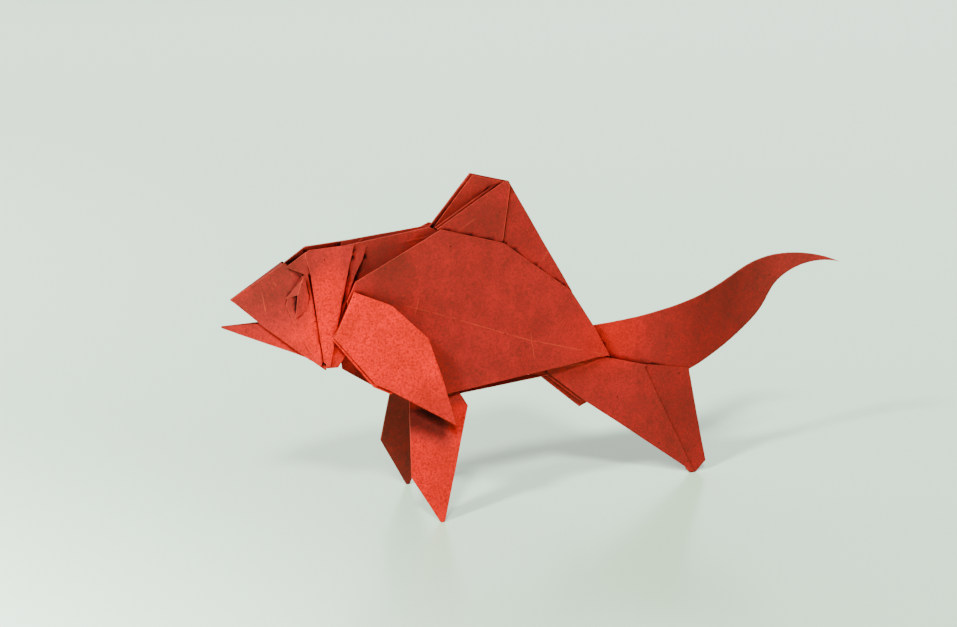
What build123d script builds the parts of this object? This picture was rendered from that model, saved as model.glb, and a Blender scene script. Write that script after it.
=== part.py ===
from build123d import *
import os

# A goldfish folded from one square of red kraft paper, in millimetres.
# X runs from the head to the tail, Y across the fish and Z up from the ground. The near side is -Y.
# The fish stands on the tips of its two pelvic fins and on the foot of its tail.
os.makedirs("parts", exist_ok=True)

# Paper: a leaf is two layers laid together, and a layer is one of them
leaf_thickness = 0.45
layer = 0.25
pleat_step = 0.7
eye_rise = 1.2

# Body, from the gill seam to the rear point and from the belly edge to the back
body_length = 65.0
body_height = 38.5
body_half_width = 8.5
belly_rise = 28.0
gill_ahead = 50.8

# Head, from the gill seam to the tip of the lower jaw and from the chin to the crown
head_length = 28.5
head_height = 28.5
head_half_width = 7.5
chin_above_belly = 7.5

# Pectoral fins, from the shoulder to the tip
pectoral_length = 22.0
pectoral_depth = 31.3
pectoral_flare = 4.5

# Pelvic fins, which are the front legs of the stand
leg_breadth = 14.5
hip_half_width = 6.5
stance_half_width = 14.25

# Tail: the lower lobe stands on the ground, and the upper lobe curls away and back
lower_reach = 43.1
lower_rise = 32.0
lower_half_gap = 1.6
upper_reach = 69.8
upper_rise = 26.3
crotch_rise = 26.0
curl_depth = 9.5

# Where the fins and the tail lobes start along the body
pelvic_share = 0.285
lower_lobe_share = 0.754
upper_lobe_share = 0.93

gill_x = -gill_ahead
chin_rise = belly_rise + chin_above_belly
leg_x = gill_x + pelvic_share * body_length
lower_root_x = gill_x + lower_lobe_share * body_length
upper_root_x = gill_x + upper_lobe_share * body_length


def on_head(ahead_share, out_share, up_share):
    """A spot of the head, by shares of its length, half width and height."""
    ahead = ahead_share * head_length
    return Vector(gill_x - ahead, -out_share * head_half_width, chin_rise + up_share * head_height)


def on_body(back_share, out_share, up_share):
    """A spot of the body, by shares of its length, half width and height."""
    back = back_share * body_length
    return Vector(gill_x + back, -out_share * body_half_width, belly_rise + up_share * body_height)


def plane_of(first, second, third):
    """The plane that a leaf lies in, through three spots."""
    return Plane(origin=first, x_dir=second - first, z_dir=(second - first).cross(third - first))


def plane_on(place, shares):
    """The plane of a leaf, through three spots given by their shares."""
    return plane_of(*[place(*share) for share in shares])


def laid_on(plane, spot):
    """The spot moved across the fish onto a plane, so as seen from the side it stays in place."""
    gap = (plane.origin - spot).dot(plane.z_dir)
    return spot + Vector(0, gap / plane.z_dir.Y, 0)


def outline_on(plane, place, shares):
    """Spots on a plane, by their shares as seen from the side."""
    return [laid_on(plane, place(along_share, 0, up_share)) for along_share, up_share in shares]


def grown_outline(corners, amount):
    """The outline moved outwards by the amount, with each corner sharper than a right angle cut square."""
    winding = sum(corner.cross(before).Z for before, corner in zip(corners[-1:] + corners[:-1], corners))
    upright = Axis.Z.direction * (amount if winding > 0 else -amount)
    grown = []
    for before, corner, after in zip(corners[-1:] + corners[:-1], corners, corners[1:] + corners[:1]):
        way_in = (corner - before).normalized()
        way_out = (after - corner).normalized()
        side_in = upright.cross(way_in)
        side_out = upright.cross(way_out)
        if way_in.dot(way_out) < 0 and side_in.dot(way_out) < 0:
            grown += [corner + side_in + way_in * amount, corner + side_out - way_out * amount]
        else:
            between = side_in + side_out
            grown.append(corner + between * (side_in.dot(side_in) / between.dot(side_in)))
    return grown


def cut_leaf(plane, corners, thickness=leaf_thickness):
    """A flat leaf of folded paper, half its thickness to each side of the plane and past its edges."""
    outline = [plane.to_local_coords(corner) for corner in corners]
    with BuildPart() as flap:
        with BuildSketch(plane):
            with BuildLine():
                Polyline(*grown_outline(outline, thickness / 2), close=True)
            make_face()
        extrude(amount=thickness / 2, both=True)
    return flap.part


def folded_in(first, second, third, thickness=layer):
    """A three-cornered layer that is folded in from an edge and joins what lies behind."""
    return cut_leaf(plane_of(first, second, third), [first, second, third], thickness)


def across(place, shares):
    """A strip that lies across the ridge, from its near corners to the same ones of the far side."""
    near_spots = [place(*share) for share in shares]
    far_spots = [Vector(spot.X, -spot.Y, spot.Z) for spot in reversed(near_spots)]
    corners = near_spots + far_spots
    return cut_leaf(plane_of(corners[0], corners[-1], corners[1]), corners)


# Head. The outlines are shares ahead of the gill seam and above the chin.
cheek_lay_shares = [(0.92, 0.02, 0.61), (0.505, 0.13, 0.872), (0.24, 0.88, 0.063)]
cheek_shares = [(0.922, 0.611), (0.505, 0.872), (0.479, 0.854), (0.338, 0.80), (0.285, 0.30),
                (0.235, 0.12), (0.24, 0.063), (0.354, 0.131), (0.714, 0.425)]
cheek_plane = plane_on(on_head, cheek_lay_shares)
cheek = cut_leaf(cheek_plane, outline_on(cheek_plane, on_head, cheek_shares))

# The pleated strip below the eye lies half a step over the cheek, ahead of the slit of the gill cover.
strip_shares = [(0.505, 0.553), (0.396, 0.288), (0.278, 0.078), (0.264, 0.116), (0.306, 0.549),
                (0.338, 0.79), (0.373, 0.767), (0.491, 0.613)]
strip_plane = cheek_plane.offset(-pleat_step / 2)
pleat_strip = cut_leaf(strip_plane, outline_on(strip_plane, on_head, strip_shares))

# The eye is a squashed fold: its lid and its side stand out over the strip and meet at a raised fold.
eye_front_shares = [(0.503, 0.612)]
eye_peak_shares = [(0.416, 0.645)]
eye_low_shares = [(0.440, 0.467), (0.360, 0.528), (0.343, 0.62)]
eye_top_shares = [(0.373, 0.767)]
eye_peak = outline_on(cheek_plane.offset(-eye_rise), on_head, eye_peak_shares)
eye_hem = outline_on(cheek_plane.offset(-pleat_step), on_head, eye_low_shares)
eye_side_plane = plane_of(*eye_peak, eye_hem[0], eye_hem[-1])
eye_top = outline_on(eye_side_plane, on_head, eye_top_shares)
eye_low = outline_on(eye_side_plane, on_head, eye_low_shares)
eye_front = outline_on(strip_plane, on_head, eye_front_shares)
eye_side = cut_leaf(eye_side_plane, eye_top + eye_peak + eye_low)
eye_lid = folded_in(*eye_top, *eye_peak, *eye_front)

# The sunken corner between the cheek and the gill cover
temple_lay_shares = [(0.483, 0.25, 0.856), (0.338, 0.265, 0.955), (0.32, 0.345, 0.80)]
temple_shares = [(0.483, 0.856), (0.338, 0.955), (0.30, 0.80), (0.335, 0.79)]
temple_plane = plane_on(on_head, temple_lay_shares)
temple = cut_leaf(temple_plane, outline_on(temple_plane, on_head, temple_shares))

# The gill cover, with the folds that tie its front and rear edges to the leaves behind
cover_lay_shares = [(0.35, 0.30, 0.95), (-0.043, 0.347, 1.0), (0.21, 1.0, 0.082)]
cover_front_shares = [(0.247, 0.111), (0.306, 0.80)]
cover_rear_shares = [(-0.023, 0.934), (0.21, 0.082)]
cover_top_shares = [(0.338, 0.952), (0.309, 0.973), (-0.043, 1.0)]
cover_bulge_shares = [(0.089, 0.570)]
cover_plane = plane_on(on_head, cover_lay_shares)
cover_front = outline_on(cover_plane, on_head, cover_front_shares)
cover_rear = outline_on(cover_plane, on_head, cover_rear_shares)
cover_top = outline_on(cover_plane, on_head, cover_top_shares)
cover_bulge = outline_on(cover_plane, on_head, cover_bulge_shares)
gill_cover = cut_leaf(cover_plane, cover_top + cover_rear[:1] + cover_bulge + cover_rear[1:] + cover_front)

# Behind the slit the cheek and the cover fold inwards and meet.
slit_root_shares = (0.27, 0.30, 0.50)
cheek_inner_shares = [(0.35, 0.76), (0.30, 0.16)]
cover_inner_shares = [(0.27, 0.76), (0.22, 0.16)]
slit_root = on_head(*slit_root_shares)
cheek_fold = folded_in(*outline_on(cheek_plane, on_head, cheek_inner_shares), slit_root)
cover_fold = folded_in(*outline_on(cover_plane, on_head, cover_inner_shares), slit_root)

# Behind the gill cover lies a second plate with a small stack of pleats at its edge.
plate_lay_shares = [(-0.157, 0.253, 1.003), (-0.033, 0.32, 0.931), (0.144, 0.75, 0.341)]
plate_top_shares = [(-0.157, 1.003)]
plate_low_shares = [(0.20, 0.16), (0.19, 0.55), (0.02, 0.893)]
stack_shares = [(-0.036, 0.757), (0.14, 0.341)]
plate_edge_shares = [(-0.113, 0.886)]
plate_plane = plane_on(on_head, plate_lay_shares)
plate_top = outline_on(plate_plane, on_head, plate_top_shares)
plate_edge = outline_on(plate_plane, on_head, plate_edge_shares)
stack_top, stack_low = outline_on(plate_plane, on_head, stack_shares)
plate_low = outline_on(plate_plane, on_head, plate_low_shares)
gill_plate = cut_leaf(plate_plane, plate_top + plate_edge + [stack_top, stack_low] + plate_low)
cover_rear_root_shares = [(0.17, 0.50)]
cover_rear_fold = folded_in(*cover_rear, *outline_on(plate_plane, on_head, cover_rear_root_shares))

stack_root_shares = (0.10, 0, 0.72)
stack_root = laid_on(plate_plane, on_head(*stack_root_shares))
pleat_stack = []
for turn in range(1, 4):
    inward = Vector(0, turn * pleat_step, 0)
    behind = Vector(turn * leaf_thickness, 0, -turn * leaf_thickness)
    pleat_stack.append(folded_in(stack_low, stack_top + inward + behind, stack_root + inward))

# Throat: a small leaf behind the chin
throat_lay_shares = [(0.207, 0.96, 0.081), (0.07, 0.85, 0.163), (0.162, 0.85, 0.265)]
throat_shares = [(0.228, 0.066), (0.144, 0.062), (0.07, 0.155), (0.162, 0.265), (0.215, 0.20)]
throat_plane = plane_on(on_head, throat_lay_shares)
throat_outline = outline_on(throat_plane, on_head, throat_shares)
throat = cut_leaf(throat_plane, throat_outline)

# The lower jaw is a pointed fold that opens downwards, held inside the cheeks.
jaw_lay_shares = [(1.0, 0.02, 0.397), (0.73, 0.08, 0.418), (0.23, 0.73, 0.036)]
jaw_front_shares = [(1.0, 0.394), (0.73, 0.40), (0.50, 0.39)]
jaw_root_shares = [(0.25, 0.20), (0.23, 0.036)]
jaw_low_shares = [(0.35, 0.129), (0.45, 0.174)]
jaw_seat_shares = [(0.25, 0.10)]
jaw_plane = plane_on(on_head, jaw_lay_shares)
jaw_root = outline_on(jaw_plane, on_head, jaw_root_shares)
jaw_low = outline_on(jaw_plane, on_head, jaw_low_shares)
jaw = cut_leaf(jaw_plane, outline_on(jaw_plane, on_head, jaw_front_shares) + jaw_root + jaw_low)
jaw_fold = folded_in(*jaw_root, *outline_on(cheek_plane, on_head, jaw_seat_shares))

# Sides of the body, creased from the gill to the rear point
upper_lay_shares = [(0.011, 0.80, 0.736), (0.997, 0.07, 0.116), (0.329, 0.55, 1.0)]
crease_shares = [(-0.02, 0.626), (0.997, 0.116)]
shoulder_edge_shares = [(0.011, 0.736), (0.329, 1.0)]
rear_edge_shares = [(0.572, 0.883), (0.836, 0.553), (0.860, 0.492), (0.932, 0.308)]
upper_plane = plane_on(on_body, upper_lay_shares)
crease_front, crease_rear = outline_on(upper_plane, on_body, crease_shares)
shoulder_edge = outline_on(upper_plane, on_body, shoulder_edge_shares)
rear_edge = outline_on(upper_plane, on_body, rear_edge_shares)
upper_side = cut_leaf(upper_plane, [crease_front] + shoulder_edge + rear_edge + [crease_rear])

belly_lay_shares = (0.333, 0.94, 0.026)
belly_edge_shares = [(0.951, 0.119), (0.743, 0.083), (0.333, 0.026)]
breast_shares = [(0.20, 0.03), (0.0, 0.35)]
lower_plane = plane_of(crease_front, crease_rear, on_body(*belly_lay_shares))
belly_edge = outline_on(lower_plane, on_body, belly_edge_shares)
breast_low, breast_top = outline_on(lower_plane, on_body, breast_shares)
lower_side = cut_leaf(lower_plane, [crease_front, crease_rear] + belly_edge + [breast_low, breast_top])

# The back lies sunken between the crown and the sides.
back_lay_shares = [(0.072, 0.235, 0.946), (0.30, 0.118, 1.0), (0.15, 0.08, 0.60)]
back_shares = [(0.0, 0.932), (0.30, 1.0), (0.42, 0.90), (0.40, 0.66), (0.05, 0.55), (-0.03, 0.75)]
side_root_shares = [(0.36, 0.72)]
plate_root_shares = [(0.03, 0.75)]
back_plane = plane_on(on_body, back_lay_shares)
back_panel = cut_leaf(back_plane, outline_on(back_plane, on_body, back_shares))
side_fold = folded_in(*shoulder_edge, *outline_on(back_plane, on_body, side_root_shares))
plate_fold = folded_in(*plate_top, stack_top, *outline_on(back_plane, on_body, plate_root_shares))

# Folds that close the breast between the throat, the sides and the pelvic fins
throat_root_shares = [(0.02, 0.45)]
near_breast_shares = [(0.03, 0.75, 0.20), (0.12, 0.84, 0.10)]
far_breast_shares = [(0.007, 0.71, 0.132), (0.113, 0.76, 0.015)]
throat_fold = folded_in(*throat_outline[2:4], *outline_on(lower_plane, on_body, throat_root_shares))
near_breast_front, near_breast_low = [on_body(*share) for share in near_breast_shares]
near_breast = folded_in(breast_top, near_breast_front, near_breast_low)
near_belly = folded_in(breast_top, near_breast_low, breast_low)
far_breast_front, far_breast_low = [on_body(*share) for share in far_breast_shares]
far_breast = folded_in(breast_top, far_breast_front, far_breast_low)
far_belly = folded_in(breast_top, far_breast_low, breast_low)

# The narrow layer that is folded in below the side, from the pelvic fin to the anal fin
keel_shares = [(0.36, 0.765, 0.0), (0.75, 0.24, 0.034), (0.50, 0.34, 0.07)]
keel_corners = [on_body(*share) for share in keel_shares]
keel = folded_in(*keel_corners)

# Dorsal fin: its leaves share the rear edge and stand apart at the front.
fin_rear_lay_shares = [(0.603, 0.02, 1.247), (0.842, 0.10, 0.549), (0.571, 0.30, 0.884)]
fin_rear_shares = [(0.603, 1.247), (0.842, 0.549), (0.80, 0.50), (0.571, 0.80)]
fin_crease_shares = [(0.571, 0.884), (0.612, 1.215)]
fin_rear_plane = plane_on(on_body, fin_rear_lay_shares)
fin_crease = outline_on(fin_rear_plane, on_body, fin_crease_shares)
fin_rear_leaf = cut_leaf(fin_rear_plane, outline_on(fin_rear_plane, on_body, fin_rear_shares) + fin_crease)

near_fin_foot_shares = (0.322, 0.47, 1.004)
near_fin_shares = [(0.322, 1.004), (0.586, 1.245), (0.603, 1.247), (0.612, 1.215), (0.571, 0.884),
                   (0.571, 0.80), (0.40, 0.88)]
near_fin_plane = plane_of(*fin_crease, on_body(*near_fin_foot_shares))
near_fin_leaf = cut_leaf(near_fin_plane, outline_on(near_fin_plane, on_body, near_fin_shares))

fin_root_shares = [(0.45, 0.90), (0.571, 0.84)]
fin_seat_shares = [(0.52, 0.78)]
fin_root = outline_on(near_fin_plane, on_body, fin_root_shares)
fin_fold = folded_in(*fin_root, *outline_on(upper_plane, on_body, fin_seat_shares))

# Each fin leaf has a lining that opens away from it towards the front edge.
lining_gap = Vector(0, pleat_step, 0)
near_lining_shares = [(0.316, 1.012), (0.580, 1.256), (0.612, 1.20), (0.571, 0.90), (0.45, 0.92)]
near_lining_rim = outline_on(near_fin_plane, on_body, near_lining_shares[:2])
near_lining_edge = [spot + lining_gap for spot in near_lining_rim]
near_lining_plane = plane_of(*near_lining_edge, fin_crease[0])
near_lining_outline = outline_on(near_lining_plane, on_body, near_lining_shares)
near_fin_lining = cut_leaf(near_lining_plane, near_lining_outline, layer)

far_fin_lay_shares = [(0.32, -0.176, 0.998), (0.603, -0.05, 1.247), (0.571, -0.33, 0.884)]
far_fin_shares = [(0.32, 0.998), (0.458, 1.308), (0.603, 1.247), (0.612, 1.215), (0.571, 0.80), (0.40, 0.85)]
far_fin_plane = plane_on(on_body, far_fin_lay_shares)
far_fin_leaf = cut_leaf(far_fin_plane, outline_on(far_fin_plane, on_body, far_fin_shares))
far_lining_shares = [(0.328, 0.985), (0.465, 1.302), (0.603, 1.242), (0.60, 1.10), (0.571, 0.80)]
far_lining_edge = [spot - lining_gap for spot in outline_on(far_fin_plane, on_body, far_lining_shares[:2])]
far_fin_hem = outline_on(far_fin_plane, on_body, far_lining_shares[-1:])
far_lining_plane = plane_of(*far_lining_edge, *far_fin_hem)
far_fin_lining = cut_leaf(far_lining_plane, outline_on(far_lining_plane, on_body, far_lining_shares), layer)

# Pectoral fins, swept back from the shoulder
shoulder_shares = (0.0, 0.94, 0.679)
shoulder = on_body(*shoulder_shares)


def on_pectoral(back_share, out_share, down_share):
    """A spot of the pectoral fin, by shares of its length, flare and depth from the shoulder."""
    back = back_share * pectoral_length
    return shoulder + Vector(back, -out_share * pectoral_flare, -down_share * pectoral_depth)


pectoral_lay_shares = [(0, 0, 0), (-0.22, 0.13, 0.31), (1, 1, 1)]
pectoral_shares = [(0, 0), (0.378, 0.111), (0.744, 0.362), (0.881, 0.67), (1, 1), (0.535, 0.80),
                   (0.347, 0.72), (0.185, 0.664), (-0.22, 0.31), (-0.19, 0.295)]
pectoral_root_shares = [(0.06, 0.60)]
under_layer_shares = [(-0.24, 0.325), (0.165, 0.69), (0.34, 0.748), (0.55, 0.60), (0.15, 0.20),
                      (-0.17, 0.25)]
pectoral_plane = plane_on(on_pectoral, pectoral_lay_shares)
pectoral = cut_leaf(pectoral_plane, outline_on(pectoral_plane, on_pectoral, pectoral_shares))
under_layer_rim = outline_on(pectoral_plane, on_pectoral, under_layer_shares[:2])
under_layer_edge = [spot + lining_gap for spot in under_layer_rim]
under_layer_hem = outline_on(pectoral_plane, on_pectoral, under_layer_shares[3:4])
under_layer_plane = plane_of(*under_layer_edge, *under_layer_hem)
under_layer_outline = outline_on(under_layer_plane, on_pectoral, under_layer_shares)
under_layer = cut_leaf(under_layer_plane, under_layer_outline, layer)
pectoral_front = [on_pectoral(*share) for share in pectoral_lay_shares[:2]]
pectoral_fold = folded_in(*pectoral_front, *outline_on(upper_plane, on_body, pectoral_root_shares))


# Pelvic fins, from the belly down to the ground
def on_leg(along_share, out_share, down_share):
    """A spot of a pelvic fin, by shares of its breadth, its spread and the way down to the ground."""
    spread = hip_half_width + out_share * (stance_half_width - hip_half_width)
    return Vector(leg_x + along_share * leg_breadth, -spread, belly_rise * (1 - down_share))


leg_lay_shares = [(0, 0, 0), (1, 0, 0), (0, 1, 1)]
near_leg_shares = [(-0.38, 0), (-0.36, -0.04), (0.40, -0.05), (0.56, 0.10), (0.012, 1), (-0.022, 1),
                   (-0.44, 0.62)]
far_leg_shares = [(-0.42, 0.066), (-0.38, -0.04), (0.40, -0.05), (0.56, 0.10), (0.012, 1), (-0.012, 1),
                  (-0.52, 0.53)]
hip_shares = [(-0.30, 0), (0.34, 0)]
hip_root_shares = [(0.30, 0.12)]
leg_plane = plane_on(on_leg, leg_lay_shares)
near_leg = cut_leaf(leg_plane, outline_on(leg_plane, on_leg, near_leg_shares))
far_leg = cut_leaf(leg_plane, outline_on(leg_plane, on_leg, far_leg_shares))
hip_seam = outline_on(leg_plane, on_leg, hip_shares)
hip_fold = folded_in(*hip_seam, *outline_on(lower_plane, on_body, hip_root_shares))


# Lower lobe of the tail, in two plates with the fold line between them
def on_lower_lobe(back_share, out_share, up_share):
    """A spot of the lower lobe, by shares of its reach, its half gap and its rise above the ground."""
    back = back_share * lower_reach
    return Vector(lower_root_x + back, -out_share * lower_half_gap, up_share * lower_rise)


lobe_front_lay_shares = [(0, 0.62, 0.957), (0.325, 0.16, 1), (0.925, 0, 0)]
lobe_front_shares = [(0, 0.957), (0.003, 0.93), (0.23, 0.68), (0.434, 0.485), (0.621, 0.301), (0.873, 0.055),
                     (0.889, 0.02), (0.912, 0.016), (0.591, 0.883), (0.60, 0.899), (0.325, 1)]
lobe_fold_shares = [(0.595, 0.88), (0.912, 0.016)]
lobe_corner_shares = (0.893, -1.7, 0.821)
lobe_rear_shares = [(0.56, 0.905), (0.60, 0.90), (0.893, 0.821), (1, 0.081), (0.925, 0), (0.905, 0),
                    (0.88, 0.03)]
lobe_front_plane = plane_on(on_lower_lobe, lobe_front_lay_shares)
lobe_front = cut_leaf(lobe_front_plane, outline_on(lobe_front_plane, on_lower_lobe, lobe_front_shares))
fold_line = outline_on(lobe_front_plane, on_lower_lobe, lobe_fold_shares)
one_layer_in = Vector(0, layer, 0)
lobe_rear_lay = [spot + one_layer_in for spot in fold_line]
lobe_rear_plane = plane_of(*lobe_rear_lay, on_lower_lobe(*lobe_corner_shares))
lobe_rear = cut_leaf(lobe_rear_plane, outline_on(lobe_rear_plane, on_lower_lobe, lobe_rear_shares))
lobe_root_shares = [(0.02, 0.95), (0.22, 0.96)]
lobe_seat_shares = [(0.83, 0.14)]
lobe_root = outline_on(lobe_front_plane, on_lower_lobe, lobe_root_shares)
lobe_fold = folded_in(*lobe_root, *outline_on(lower_plane, on_body, lobe_seat_shares))

# Upper lobe of the tail: a curled ribbon in plan, cut to its outline as seen from the side
curl_shares = [(-0.09, 0.08), (0.10, 0.13), (0.26, 0.18), (0.40, 0.35), (0.54, 0.70), (0.69, 0.99),
               (0.80, 0.95), (0.92, 0.70), (1.01, 0.56)]
lobe_top_shares = [(0.01, 0.525), (0.299, 0.618), (0.547, 0.789), (0.718, 0.963), (0.861, 1.0), (1.0, 0.904)]
lobe_low_shares = [(1.0, 0.904), (0.829, 0.839), (0.762, 0.678), (0.721, 0.491), (0.631, 0.277),
                   (0.394, 0.0)]
lobe_hidden_shares = [(0.20, -0.10), (-0.04, 0.0), (-0.08, 0.40)]


def curl_edge(shift):
    """One face of the ribbon in plan, moved across by the given shift."""
    return [(upper_root_x + back * upper_reach, out * curl_depth + shift) for back, out in curl_shares]


def on_upper_lobe(shares):
    """Side-view spots of the upper lobe, by shares of its reach and of its rise above the crotch."""
    return [(upper_root_x + back * upper_reach, crotch_rise + up * upper_rise) for back, up in shares]


with BuildPart() as upper_lobe:
    with BuildSketch(Plane.XY):
        with BuildLine():
            near_face = Spline(*curl_edge(-leaf_thickness / 2))
            far_face = Spline(*curl_edge(leaf_thickness / 2))
            Line(near_face @ 0, far_face @ 0)
            Line(near_face @ 1, far_face @ 1)
        make_face()
    extrude(amount=crotch_rise + 2 * upper_rise)
    with BuildSketch(Plane.XZ):
        with BuildLine():
            top_edge = Spline(*on_upper_lobe(lobe_top_shares))
            low_edge = Spline(*on_upper_lobe(lobe_low_shares))
            Polyline(low_edge @ 1, *on_upper_lobe(lobe_hidden_shares), top_edge @ 0)
        make_face()
    extrude(amount=2 * curl_depth, both=True, mode=Mode.INTERSECT)

# Anal fin: two leaves that show below the front edge of the lower lobe
anal_outer_lay_shares = [(0.746, -0.10, 0.0), (0.925, -0.16, -0.189), (0.86, 0.05, 0.088)]
anal_outer_shares = [(0.746, 0.0), (0.898, -0.213), (0.925, -0.189), (0.88, 0.088), (0.80, 0.088)]
anal_inner_lay_shares = [(0.752, 0.03, 0.05), (0.892, 0.016, -0.165), (0.86, 0.06, 0.088)]
anal_inner_shares = [(0.685, 0.02), (0.752, 0.02), (0.892, -0.165), (0.92, -0.15), (0.90, 0.085),
                     (0.80, 0.09), (0.705, 0.09)]
outer_plane = plane_on(on_body, anal_outer_lay_shares)
inner_plane = plane_on(on_body, anal_inner_lay_shares)
anal_outer = cut_leaf(outer_plane, outline_on(outer_plane, on_body, anal_outer_shares))
anal_inner = cut_leaf(inner_plane, outline_on(inner_plane, on_body, anal_inner_shares), layer)

# Strips across the ridge: the snout is closed, and the others lie sunken between the two sides.
snout_shares = [(0.92, 0.02, 0.61), (0.505, 0.13, 0.872)]
brow_shares = [(0.483, 0.17, 0.80), (0.338, 0.25, 0.885)]
crown_front_shares = [(0.338, 0.25, 0.885), (0.309, 0.32, 0.90)]
crown_shares = [(0.309, 0.32, 0.90), (-0.03, 0.38, 0.93)]
back_ridge_shares = [(-0.01, 0.24, 0.875), (0.31, 0.11, 0.95)]
head_ridge_shares = (snout_shares, brow_shares, crown_front_shares, crown_shares)
head_strips = [across(on_head, shares) for shares in head_ridge_shares]
back_strip = across(on_body, back_ridge_shares)

both_sides = [cheek, pleat_strip, eye_lid, eye_side, temple, gill_cover, cheek_fold, cover_fold, gill_plate,
              cover_rear_fold, *pleat_stack, throat, jaw, jaw_fold, upper_side, lower_side, back_panel,
              side_fold, plate_fold, throat_fold, keel, fin_rear_leaf, pectoral, under_layer, pectoral_fold,
              hip_fold]
near_only = [near_breast, near_belly, near_fin_leaf, near_fin_lining, fin_fold, near_leg]
far_only = [far_breast, far_belly, far_leg]
middle = [far_fin_leaf, far_fin_lining, lobe_front, lobe_rear, lobe_fold, upper_lobe.part, anal_outer,
          anal_inner, *head_strips, back_strip]
far_side = [mirror(leaf, about=Plane.XZ) for leaf in both_sides + far_only]

# The whole fish is one sheet, so its leaves are one solid, cut level where it stands.
with BuildPart() as goldfish:
    add(both_sides + near_only + middle + far_side)
    split(bisect_by=Plane.XY, keep=Keep.TOP)
goldfish.part.label = "goldfish"
export_step(goldfish.part, "parts/goldfish.step")
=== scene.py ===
import math

import bpy
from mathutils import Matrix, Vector, noise
from mathutils.bvhtree import BVHTree


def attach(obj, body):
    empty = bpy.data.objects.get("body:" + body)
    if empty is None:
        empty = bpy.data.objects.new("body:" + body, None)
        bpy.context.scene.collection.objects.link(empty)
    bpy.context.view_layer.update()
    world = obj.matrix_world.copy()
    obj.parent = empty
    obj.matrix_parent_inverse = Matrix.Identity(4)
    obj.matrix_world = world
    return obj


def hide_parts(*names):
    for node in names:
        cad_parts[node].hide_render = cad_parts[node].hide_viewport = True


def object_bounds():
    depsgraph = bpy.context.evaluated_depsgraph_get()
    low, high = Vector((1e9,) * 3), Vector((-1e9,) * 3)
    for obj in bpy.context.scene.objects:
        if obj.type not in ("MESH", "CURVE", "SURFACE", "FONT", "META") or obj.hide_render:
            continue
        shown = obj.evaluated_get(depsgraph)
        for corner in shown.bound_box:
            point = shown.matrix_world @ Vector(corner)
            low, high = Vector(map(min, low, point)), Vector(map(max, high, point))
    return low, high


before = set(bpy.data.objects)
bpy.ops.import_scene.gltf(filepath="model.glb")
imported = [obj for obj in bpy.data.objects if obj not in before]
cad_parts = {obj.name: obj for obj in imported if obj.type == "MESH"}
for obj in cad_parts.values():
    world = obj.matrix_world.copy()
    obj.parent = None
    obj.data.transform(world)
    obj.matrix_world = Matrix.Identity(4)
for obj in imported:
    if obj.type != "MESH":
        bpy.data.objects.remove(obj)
cad_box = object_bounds()
bpy.ops.object.select_all(action="DESELECT")

# The folded fish is one square of red kraft paper, folded by hand without a cut. Its leaves are layers of
# the paper pressed together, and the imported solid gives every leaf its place. Here the flat triangles of
# each leaf are joined up again, so that its edges can be rounded and its faces scored and eased.
weld_gap = 0.000002
flat_angle = math.radians(0.6)
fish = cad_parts["goldfish"].copy()
fish.data = fish.data.copy()
fish.name = "folded_goldfish"
fish.data.name = "folded_goldfish"
fish.data.materials.clear()
bpy.context.scene.collection.objects.link(fish)
bpy.context.view_layer.objects.active = fish
fish.select_set(True)

bpy.ops.object.mode_set(mode="EDIT")
bpy.ops.mesh.select_all(action="SELECT")
bpy.ops.mesh.remove_doubles(threshold=weld_gap)
bpy.ops.mesh.customdata_custom_splitnormals_clear()
bpy.ops.mesh.dissolve_degenerate(threshold=weld_gap)
bpy.ops.mesh.dissolve_limited(angle_limit=flat_angle)
bpy.ops.object.mode_set(mode="OBJECT")
leaf_surface = BVHTree.FromObject(fish, bpy.context.evaluated_depsgraph_get())

# Each edge of a leaf is a fold or a trimmed edge of the paper, so it is rounded a little. The rounding's
# faces take the second of two empty places for paper, which tells them from the leaves' own faces.
fold_angle = math.radians(24.0)
fold_round = 0.00007
farthest_off = 0.8 * fold_round
rounding_place = 1
fish.data.materials.append(None)
fish.data.materials.append(None)
bpy.ops.object.mode_set(mode="EDIT")
bpy.ops.mesh.select_mode(type="EDGE")
bpy.ops.mesh.select_all(action="DESELECT")
bpy.ops.mesh.edges_select_sharp(sharpness=fold_angle)
bpy.ops.mesh.bevel(offset=fold_round, offset_type="OFFSET", segments=2, profile=0.5, clamp_overlap=False,
                   miter_outer="SHARP", material=rounding_place)
bpy.ops.mesh.select_mode(type="FACE")
bpy.ops.object.mode_set(mode="OBJECT")

for vertex in fish.data.vertices:
    found = leaf_surface.find_nearest(vertex.co)
    if found[3] > farthest_off:
        vertex.co = found[0]

# The leaves are cut into small squares, so that they can take a gentle wave.
dice = 0.0014
across_x = [cad_box[0][0] + dice * step for step in range(1, int((cad_box[1][0] - cad_box[0][0]) / dice) + 1)]
across_z = [dice * step for step in range(1, int(cad_box[1][2] / dice) + 1)]
bpy.ops.object.mode_set(mode="EDIT")
for cut in across_x:
    bpy.ops.mesh.select_all(action="SELECT")
    bpy.ops.mesh.bisect(plane_co=(cut, 0.0, 0.0), plane_no=(1.0, 0.0, 0.0))
for cut in across_z:
    bpy.ops.mesh.select_all(action="SELECT")
    bpy.ops.mesh.bisect(plane_co=(0.0, 0.0, cut), plane_no=(0.0, 0.0, 1.0))
bpy.ops.object.mode_set(mode="OBJECT")

# The rounded edges are rubbed and are painted a little paler than the leaves, partly as wear and partly as a
# painted highlight.
on_leaf = {corner for face in fish.data.polygons if face.material_index != rounding_place
           for corner in face.vertices}
edge_wear_and_highlight = fish.data.attributes.new("edge_wear_and_highlight", "FLOAT", "POINT")
for vertex in fish.data.vertices:
    edge_wear_and_highlight.data[vertex.index].value = 0.0 if vertex.index in on_leaf else 1.0
for face in fish.data.polygons:
    face.material_index = 0
fish.data.materials.clear()

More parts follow.
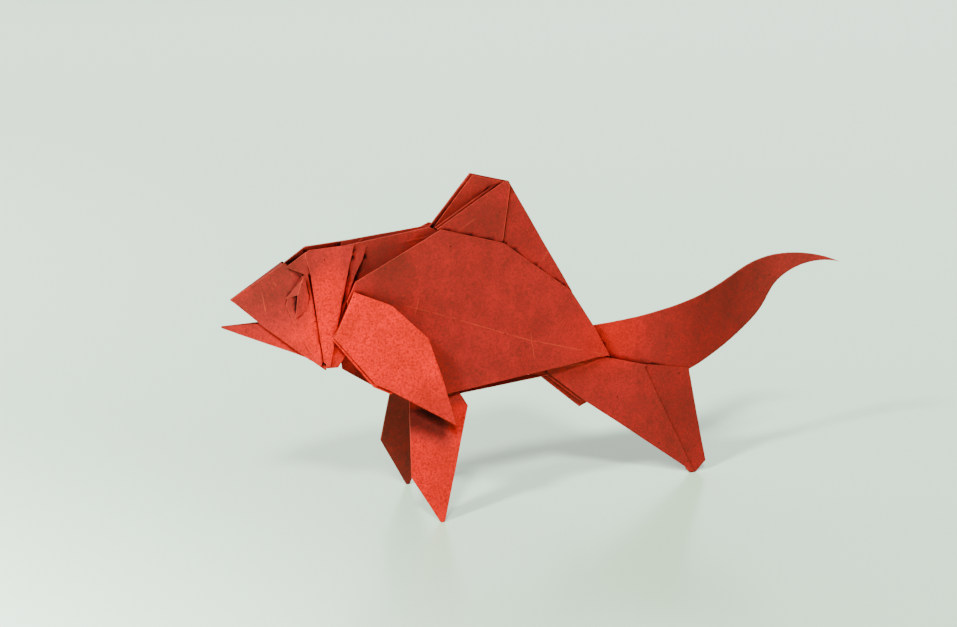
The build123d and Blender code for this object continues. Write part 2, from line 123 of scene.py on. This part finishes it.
# Some folds of the pattern were pressed and opened again, and stand up as a fine ridge. Each is given by its
# ends seen from the side, as (x, z), and runs alike on both sides of the fish.
creases = [((-0.0385, 0.0499), (-0.0274, 0.0461)), ((-0.0274, 0.0461), (-0.0070, 0.0384)),
           ((-0.0070, 0.0384), (0.0120, 0.0331)), ((-0.0352, 0.0506), (-0.0361, 0.0475)),
           ((-0.0070, 0.0429), (-0.0061, 0.0340)), ((-0.0036, 0.0570), (-0.0018, 0.0592)),
           ((-0.0200, 0.0685), (-0.0250, 0.0659)), ((-0.0704, 0.0541), (-0.0699, 0.0489)),
           ((-0.0679, 0.0566), (-0.0671, 0.0555))]
ridge_half = 0.00013
ridge_height = 0.00003
ridge_top_half = 0.3 * ridge_half
ridge_run_out = 0.0001
cut_reach = 0.0016
cut_run_out = 0.0026
sideways = 0.8


def faces_out(place, normal):
    """Whether a spot of the paper looks away from the fish's middle, to its near or far side."""
    return normal.y * place.y > 0.0 and abs(normal.y) > sideways


def along_crease(spot, crease):
    """How far a spot lies to one side of a crease, and past its ends."""
    first, last = Vector(crease[0]), Vector(crease[1])
    way = (last - first).normalized()
    step = Vector((spot.x, spot.z)) - first
    run = step.dot(way)
    return step.x * way.y - step.y * way.x, max(0.0, -run, run - (last - first).length)


for crease in creases:
    run_x, run_z = crease[1][0] - crease[0][0], crease[1][1] - crease[0][1]
    run_length = math.hypot(run_x, run_z)
    aside = Vector((run_z / run_length, 0.0, -run_x / run_length))
    for shift in (-ridge_half, 0.0, ridge_half):
        for face in fish.data.polygons:
            offset, past = along_crease(face.center, crease)
            near_crease = abs(offset) < cut_reach and past < cut_run_out
            face.select = faces_out(face.center, face.normal) and near_crease
        spot = Vector((crease[0][0], 0.0, crease[0][1])) + aside * shift
        bpy.ops.object.mode_set(mode="EDIT")
        bpy.ops.mesh.bisect(plane_co=spot, plane_no=aside)
        bpy.ops.object.mode_set(mode="OBJECT")

scored = fish.data.attributes.new("scored", "FLOAT", "POINT")
for vertex in fish.data.vertices:
    outward = faces_out(vertex.co, vertex.normal)
    for crease in creases:
        offset, past = along_crease(vertex.co, crease)
        if outward and abs(offset) < ridge_top_half and past < ridge_run_out:
            scored.data[vertex.index].value = 1.0
            vertex.co = vertex.co + vertex.normal * ridge_height
            break

# Leaves that were creased and pressed by hand are never quite flat, so they wave a little. The wave dies
# out towards the floor, where the fin tips and the foot of the tail stand.
wide_wave = 0.00034
wide_wave_rate = 52.0
fine_wave = 0.00010
fine_wave_rate = 170.0
in_leaf_share = 0.3
firm_height = 0.012
soft_angle = math.radians(22.0)
wave_seed = 8
noise.seed_set(wave_seed)
for vertex in fish.data.vertices:
    spot = vertex.co
    ease = min(1.0, spot.z / firm_height)
    wide_swell = noise.noise_vector(spot * wide_wave_rate) * wide_wave
    swell = wide_swell + noise.noise_vector(spot * fine_wave_rate) * fine_wave
    vertex.co = spot + Vector((in_leaf_share * swell.x, swell.y, in_leaf_share * swell.z)) * ease
bpy.ops.object.shade_smooth_by_angle(angle=soft_angle)

# Little light comes into the narrow space between two leaves, so shade is painted there. Each spot is marked
# by how many of its feelers, sent out all round, soon meet paper.
reach = 0.006
feeler_count = 16
skin = 0.00008
far_hit_loss = 0.5
golden_turn = math.pi * (3.0 - math.sqrt(5.0))
solid_leaves = BVHTree.FromObject(fish, bpy.context.evaluated_depsgraph_get())
feelers = []
for step in range(feeler_count):
    rise = (step + 0.5) / feeler_count
    flat = math.sqrt(1.0 - rise * rise)
    feelers.append(Vector((flat * math.cos(golden_turn * step), flat * math.sin(golden_turn * step), rise)))
painted_hollow_shade = fish.data.attributes.new("painted_hollow_shade", "FLOAT", "POINT")
for vertex in fish.data.vertices:
    turned = vertex.normal.to_track_quat("Z", "Y")
    start = vertex.co + vertex.normal * skin
    shut = 0.0
    for feeler in feelers:
        hit = solid_leaves.ray_cast(start, turned @ feeler, reach)
        if hit[0] is not None:
            shut += 1.0 - far_hit_loss * hit[3] / reach
    painted_hollow_shade.data[vertex.index].value = shut / feeler_count

# Light and shade are painted into the paper: it is painted brighter where light falls on the gill covers, the
# jaw, the breast fins and the outside of the legs, and darker where shade falls on the temple, the back fin
# and the tail's tip.
# A patch is its middle seen from the side, as (x, z), its half length and half height, and its brightness.
painted_light_patches = [((-0.0558, 0.0545), (0.0062, 0.0095), 1.0), ((-0.0580, 0.0440), (0.0050, 0.0060), 0.65),
           ((-0.0660, 0.0440), (0.0100, 0.0052), 0.45), ((-0.0540, 0.0405), (0.0050, 0.0040), 0.5),
           ((0.0160, 0.0365), (0.0100, 0.0070), 0.7), ((-0.0630, 0.0615), (0.0080, 0.0035), -0.9),
           ((-0.0190, 0.0680), (0.0100, 0.0050), -0.8), ((-0.0430, 0.0600), (0.0080, 0.0080), -0.9),
           ((-0.0680, 0.0540), (0.0070, 0.0070), -0.9), ((0.0560, 0.0450), (0.0240, 0.0140), -0.9),
           ((0.0330, 0.0140), (0.0110, 0.0160), -0.6)]

# The breast fin's leaf: a spot of it as (x, y, z), how y grows along x and z, and the box that holds the leaf
fin_spot = (-0.0465, 0.0091, 0.0479)
fin_slope_x = 0.0707
fin_slope_z = -0.0909
fin_slack = 0.0010
fin_front = -0.056
fin_rear = -0.024
fin_low = 0.022
fin_fade_from = 0.036
fin_fade_depth = 0.010
fin_fade_loss = 0.5

# The legs, and the shadow painted on their outside under the breast fin, from a slanting lower edge upwards
leg_height = 0.0262
leg_rear = -0.02
leg_bright = 0.75
shade_dulls = 1.5
shade_darkens = 0.40
shade_edge = (-0.033, 0.0165)
shade_slope = -0.35
shade_fade = 0.0042
shade_rear = -0.0275
shade_rear_fade = 0.0030


def held(value, low, high):
    """A value kept between two others."""
    return max(low, min(high, value))


painted_light_and_shade = fish.data.attributes.new("painted_light_and_shade", "FLOAT", "POINT")
painted_hollow_shade = fish.data.attributes["painted_hollow_shade"]
for vertex in fish.data.vertices:
    spot = vertex.co
    value = 0.0
    for middle, half, strength in painted_light_patches:
        aside = (spot.x - middle[0]) / half[0]
        above = (spot.z - middle[1]) / half[1]
        value += strength * math.exp(-aside ** 2 - above ** 2)
    # The breast fin is painted in light, with painted shade growing towards its lower part.
    fin_side = fin_spot[1] + fin_slope_x * (spot.x - fin_spot[0]) + fin_slope_z * (spot.z - fin_spot[2])
    if abs(spot.y) > fin_side - fin_slack and fin_front < spot.x < fin_rear and spot.z > fin_low:
        value = 1.0 - fin_fade_loss * held((fin_fade_from - spot.z) / fin_fade_depth, 0.0, 1.0)
    elif spot.z < leg_height and spot.x < leg_rear:
        low_edge = shade_edge[1] + shade_slope * (spot.x - shade_edge[0])
        up_in_shade = held((spot.z - low_edge) / shade_fade, 0.0, 1.0)
        in_shade = up_in_shade * held((shade_rear - spot.x) / shade_rear_fade, 0.0, 1.0)
        # The outside of a leg is painted in light, with a painted shadow under the breast fin.
        if vertex.normal.y * spot.y > 0.0:
            value = leg_bright - shade_dulls * in_shade
            painted_hollow_shade.data[vertex.index].value += shade_darkens * in_shade
        # The inside of a leg is painted in shade.
        else:
            value = -1.0
    painted_light_and_shade.data[vertex.index].value = held(value, -1.0, 1.0)

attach(fish, "root")
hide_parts("goldfish")

# The paper is rough kraft paper dyed red, with brown fibres that took the dye unevenly, dark specks and a
# fine tooth. The first and second colour of a dye lie in clouds over the sheet.
# The dull dye is the paper's red painted in shade, and the bright dye the same red painted in light; the
# plain dye is its own red.
painted_shade_dye = ((0.205, 0.013, 0.010, 1.0), (0.140, 0.013, 0.010, 1.0))
painted_shade_clouds = 230.0
plain_dye = ((0.37, 0.012, 0.011, 1.0), (0.265, 0.013, 0.011, 1.0))
plain_clouds = 190.0
painted_light_dye = ((0.76, 0.003, 0.0005, 1.0), (0.58, 0.006, 0.001, 1.0))
painted_light_clouds = 150.0
uneven_tint = (0.48, 1.30, 0.95, 1.0)
fibre_brown = (0.46, 0.026, 0.008, 1.0)
edge_wear_highlight_colour = (0.58, 0.06, 0.018, 1.0)
edge_wear_highlight_share = 0.55
crease_wear_highlight_colour = (0.60, 0.06, 0.018, 1.0)
crease_wear_highlight_share = 0.42
painted_gap_shade = (0.008, 0.0008, 0.0006, 1.0)
speck_dark = (0.02, 0.004, 0.003, 1.0)
tooth_depth = 0.00012
red_paper = bpy.data.materials.new("red_kraft_paper")
red_paper.use_nodes = True
nodes = red_paper.node_tree.nodes
links = red_paper.node_tree.links
nodes.clear()
output = nodes.new("ShaderNodeOutputMaterial")
surface = nodes.new("ShaderNodeBsdfPrincipled")
place = nodes.new("ShaderNodeTexCoord")
surface.inputs["Roughness"].default_value = 0.72
surface.inputs["Specular IOR Level"].default_value = 0.06
links.new(surface.outputs["BSDF"], output.inputs["Surface"])


def noise_at(scale, detail, roughness):
    """A cloud of the paper's own unevenness, at so many spots to the metre."""
    cloud = nodes.new("ShaderNodeTexNoise")
    cloud.inputs["Scale"].default_value = scale
    cloud.inputs["Detail"].default_value = detail
    cloud.inputs["Roughness"].default_value = roughness
    links.new(place.outputs["Object"], cloud.inputs["Vector"])
    return cloud.outputs["Fac"]


def mixed(first, second, share, blend="MIX"):
    """Two colours laid over each other, by a share that is a pattern."""
    mix = nodes.new("ShaderNodeMix")
    mix.data_type = "RGBA"
    mix.blend_type = blend
    for socket, value in ((mix.inputs[6], first), (mix.inputs[7], second)):
        if isinstance(value, bpy.types.NodeSocket):
            links.new(value, socket)
        else:
            socket.default_value = value
    links.new(share, mix.inputs[0])
    return mix.outputs[2]


def ramped(value, low, high):
    """A pattern stretched so that it runs from nothing at low to all at high."""
    ramp = nodes.new("ShaderNodeMapRange")
    ramp.inputs["From Min"].default_value = low
    ramp.inputs["From Max"].default_value = high
    links.new(value, ramp.inputs["Value"])
    return ramp.outputs["Result"]


def marked(name):
    """A mark that was set on the mesh itself."""
    mark = nodes.new("ShaderNodeAttribute")
    mark.attribute_name = name
    return mark.outputs["Fac"]


def shared(value, factor):
    """A pattern made weaker."""
    scale = nodes.new("ShaderNodeMath")
    scale.operation = "MULTIPLY"
    scale.inputs[1].default_value = factor
    links.new(value, scale.inputs[0])
    return scale.outputs["Value"]


def clouded(dye, clouds):
    """A dye's two colours, in clouds of so many to the metre."""
    return mixed(dye[0], dye[1], ramped(noise_at(clouds, 4.0, 0.6), 0.36, 0.62))


# The painted light mark lays the red painted in shade, the plain red and the red painted in light over the
# sheet.
colour = mixed(clouded(painted_shade_dye, painted_shade_clouds), clouded(plain_dye, plain_clouds),
               ramped(marked("painted_light_and_shade"), -1.0, 0.0))
colour = mixed(colour, clouded(painted_light_dye, painted_light_clouds), ramped(marked("painted_light_and_shade"), 0.0, 1.0))
colour = mixed(colour, uneven_tint, ramped(noise_at(2000.0, 3.0, 0.75), 0.42, 0.66), "MULTIPLY")
colour = mixed(colour, fibre_brown, ramped(noise_at(2600.0, 2.0, 0.6), 0.60, 0.90))
# Rounded edges are paler, partly wear and partly a painted highlight.
colour = mixed(colour, edge_wear_highlight_colour, shared(marked("edge_wear_and_highlight"), edge_wear_highlight_share))
# The ridges of opened creases are paler, partly wear and partly a painted highlight.
colour = mixed(colour, crease_wear_highlight_colour, shared(marked("scored"), crease_wear_highlight_share))
# Shade is painted into the gaps between leaves and under the breast fin.
colour = mixed(colour, painted_gap_shade, ramped(marked("painted_hollow_shade"), 0.20, 0.56))
speck = nodes.new("ShaderNodeTexVoronoi")
speck.inputs["Scale"].default_value = 250.0
links.new(place.outputs["Object"], speck.inputs["Vector"])
colour = mixed(speck_dark, colour, ramped(speck.outputs["Distance"], 0.035, 0.055))
links.new(colour, surface.inputs["Base Color"])

tooth = nodes.new("ShaderNodeBump")
tooth.inputs["Strength"].default_value = 0.35
tooth.inputs["Distance"].default_value = tooth_depth
links.new(noise_at(2400.0, 4.0, 0.65), tooth.inputs["Height"])
links.new(tooth.outputs["Normal"], surface.inputs["Normal"])
fish.data.materials.append(red_paper)

# The table is a wide sheet of pale board with a faint gloss, laid flat under the fish. Two soft pools of
# painted light glow in it, each a middle, a radius and a strength, and stand for the bright light that falls
# on it from the left.
board_width = 60.0
board_middle = (0.0, 0.8, 0.0)
board_pale = (0.58, 0.90, 0.64, 1.0)
glow_pale = (0.85, 1.0, 0.84, 1.0)
board_painted_light_pools = [((-0.47, -0.22, 0.0), 0.50, 30.0), ((-0.70, 0.30, 0.0), 0.80, 6.0)]
bpy.ops.mesh.primitive_plane_add(size=board_width, location=board_middle)
board = bpy.context.object
board.name = "pale_board"
board.data.transform(board.matrix_basis)
board.matrix_basis.identity()
board_paint = bpy.data.materials.new("pale_board")
board_paint.use_nodes = True
board_nodes = board_paint.node_tree.nodes
board_links = board_paint.node_tree.links
board_coat = board_nodes["Principled BSDF"]
board_coat.inputs["Base Color"].default_value = board_pale
board_coat.inputs["Roughness"].default_value = 0.22
board_coat.inputs["Specular IOR Level"].default_value = 0.50
board_coat.inputs["Emission Color"].default_value = glow_pale
board_place = board_nodes.new("ShaderNodeTexCoord")
both_glows = board_nodes.new("ShaderNodeMath")
for glow_index, (middle, radius, strength) in enumerate(board_painted_light_pools):
    glow_place = board_nodes.new("ShaderNodeMapping")
    glow_place.inputs["Location"].default_value = [-value / radius for value in middle]
    glow_place.inputs["Scale"].default_value = (1.0 / radius, 1.0 / radius, 1.0)
    pool = board_nodes.new("ShaderNodeTexGradient")
    pool.gradient_type = "QUADRATIC_SPHERE"
    glow = board_nodes.new("ShaderNodeMath")
    glow.operation = "MULTIPLY"
    glow.inputs[1].default_value = strength
    board_links.new(board_place.outputs["Object"], glow_place.inputs["Vector"])
    board_links.new(glow_place.outputs["Vector"], pool.inputs["Vector"])
    board_links.new(pool.outputs["Fac"], glow.inputs[0])
    board_links.new(glow.outputs["Value"], both_glows.inputs[glow_index])
board_links.new(both_glows.outputs["Value"], board_coat.inputs["Emission Strength"])
board.data.materials.append(board_paint)

# The light is plain and soft: two lamps on the left, one of them more to the front, a wide pale wall of light
# behind the fish that the board mirrors, and a dim fill from all round.
lamp_colour = (1.0, 0.96, 0.92)
lamps = [("front_lamp", (-0.28, -0.66, 0.70), 4.0, 8.0), ("side_lamp", (-0.70, -0.33, 0.63), 4.6, 7.0)]
for name, toward, strength, spread in lamps:
    lamp_data = bpy.data.lights.new(name, "SUN")
    lamp_data.energy = strength
    lamp_data.angle = math.radians(spread)
    lamp_data.color = lamp_colour
    lamp = bpy.data.objects.new(name, lamp_data)
    lamp.rotation_euler = Vector(toward).to_track_quat("Z", "Y").to_euler()
    bpy.context.scene.collection.objects.link(lamp)

wall_data = bpy.data.lights.new("bright_wall", "AREA")
wall_data.shape = "RECTANGLE"
wall_data.size = 7.0
wall_data.size_y = 2.2
wall_data.energy = 110.0
wall_data.color = (0.95, 1.0, 0.95)
wall = bpy.data.objects.new("bright_wall", wall_data)
wall.location = (0.9, 2.4, 1.15)
wall.rotation_euler = (math.radians(-90.0), 0.0, 0.0)
bpy.context.scene.collection.objects.link(wall)

studio = bpy.data.worlds.new("studio")
bpy.context.scene.world = studio
studio.use_nodes = True
fill = studio.node_tree.nodes["Background"]
fill.inputs["Color"].default_value = (0.88, 0.95, 1.0, 1.0)
fill.inputs["Strength"].default_value = 0.12

# The camera stands a little above the fish and to its head side, where the photograph was taken from. Its
# place and turn were worked out from the three spots where the fish touches the floor.
camera_turn = math.radians(-18.724)
camera_lift = math.radians(13.653)
camera_data = bpy.data.cameras.new("camera")
camera_data.lens = 70.0
camera_data.sensor_width = 36.0
camera_data.clip_start = 0.01
camera = bpy.data.objects.new("camera", camera_data)
camera.location = (-0.15486, -0.40134, 0.14812)
level = math.cos(camera_lift)
back = Vector((math.sin(camera_turn) * level, -math.cos(camera_turn) * level, math.sin(camera_lift)))
camera.rotation_euler = back.to_track_quat("Z", "Y").to_euler()
bpy.context.scene.collection.objects.link(camera)
bpy.context.scene.camera = camera
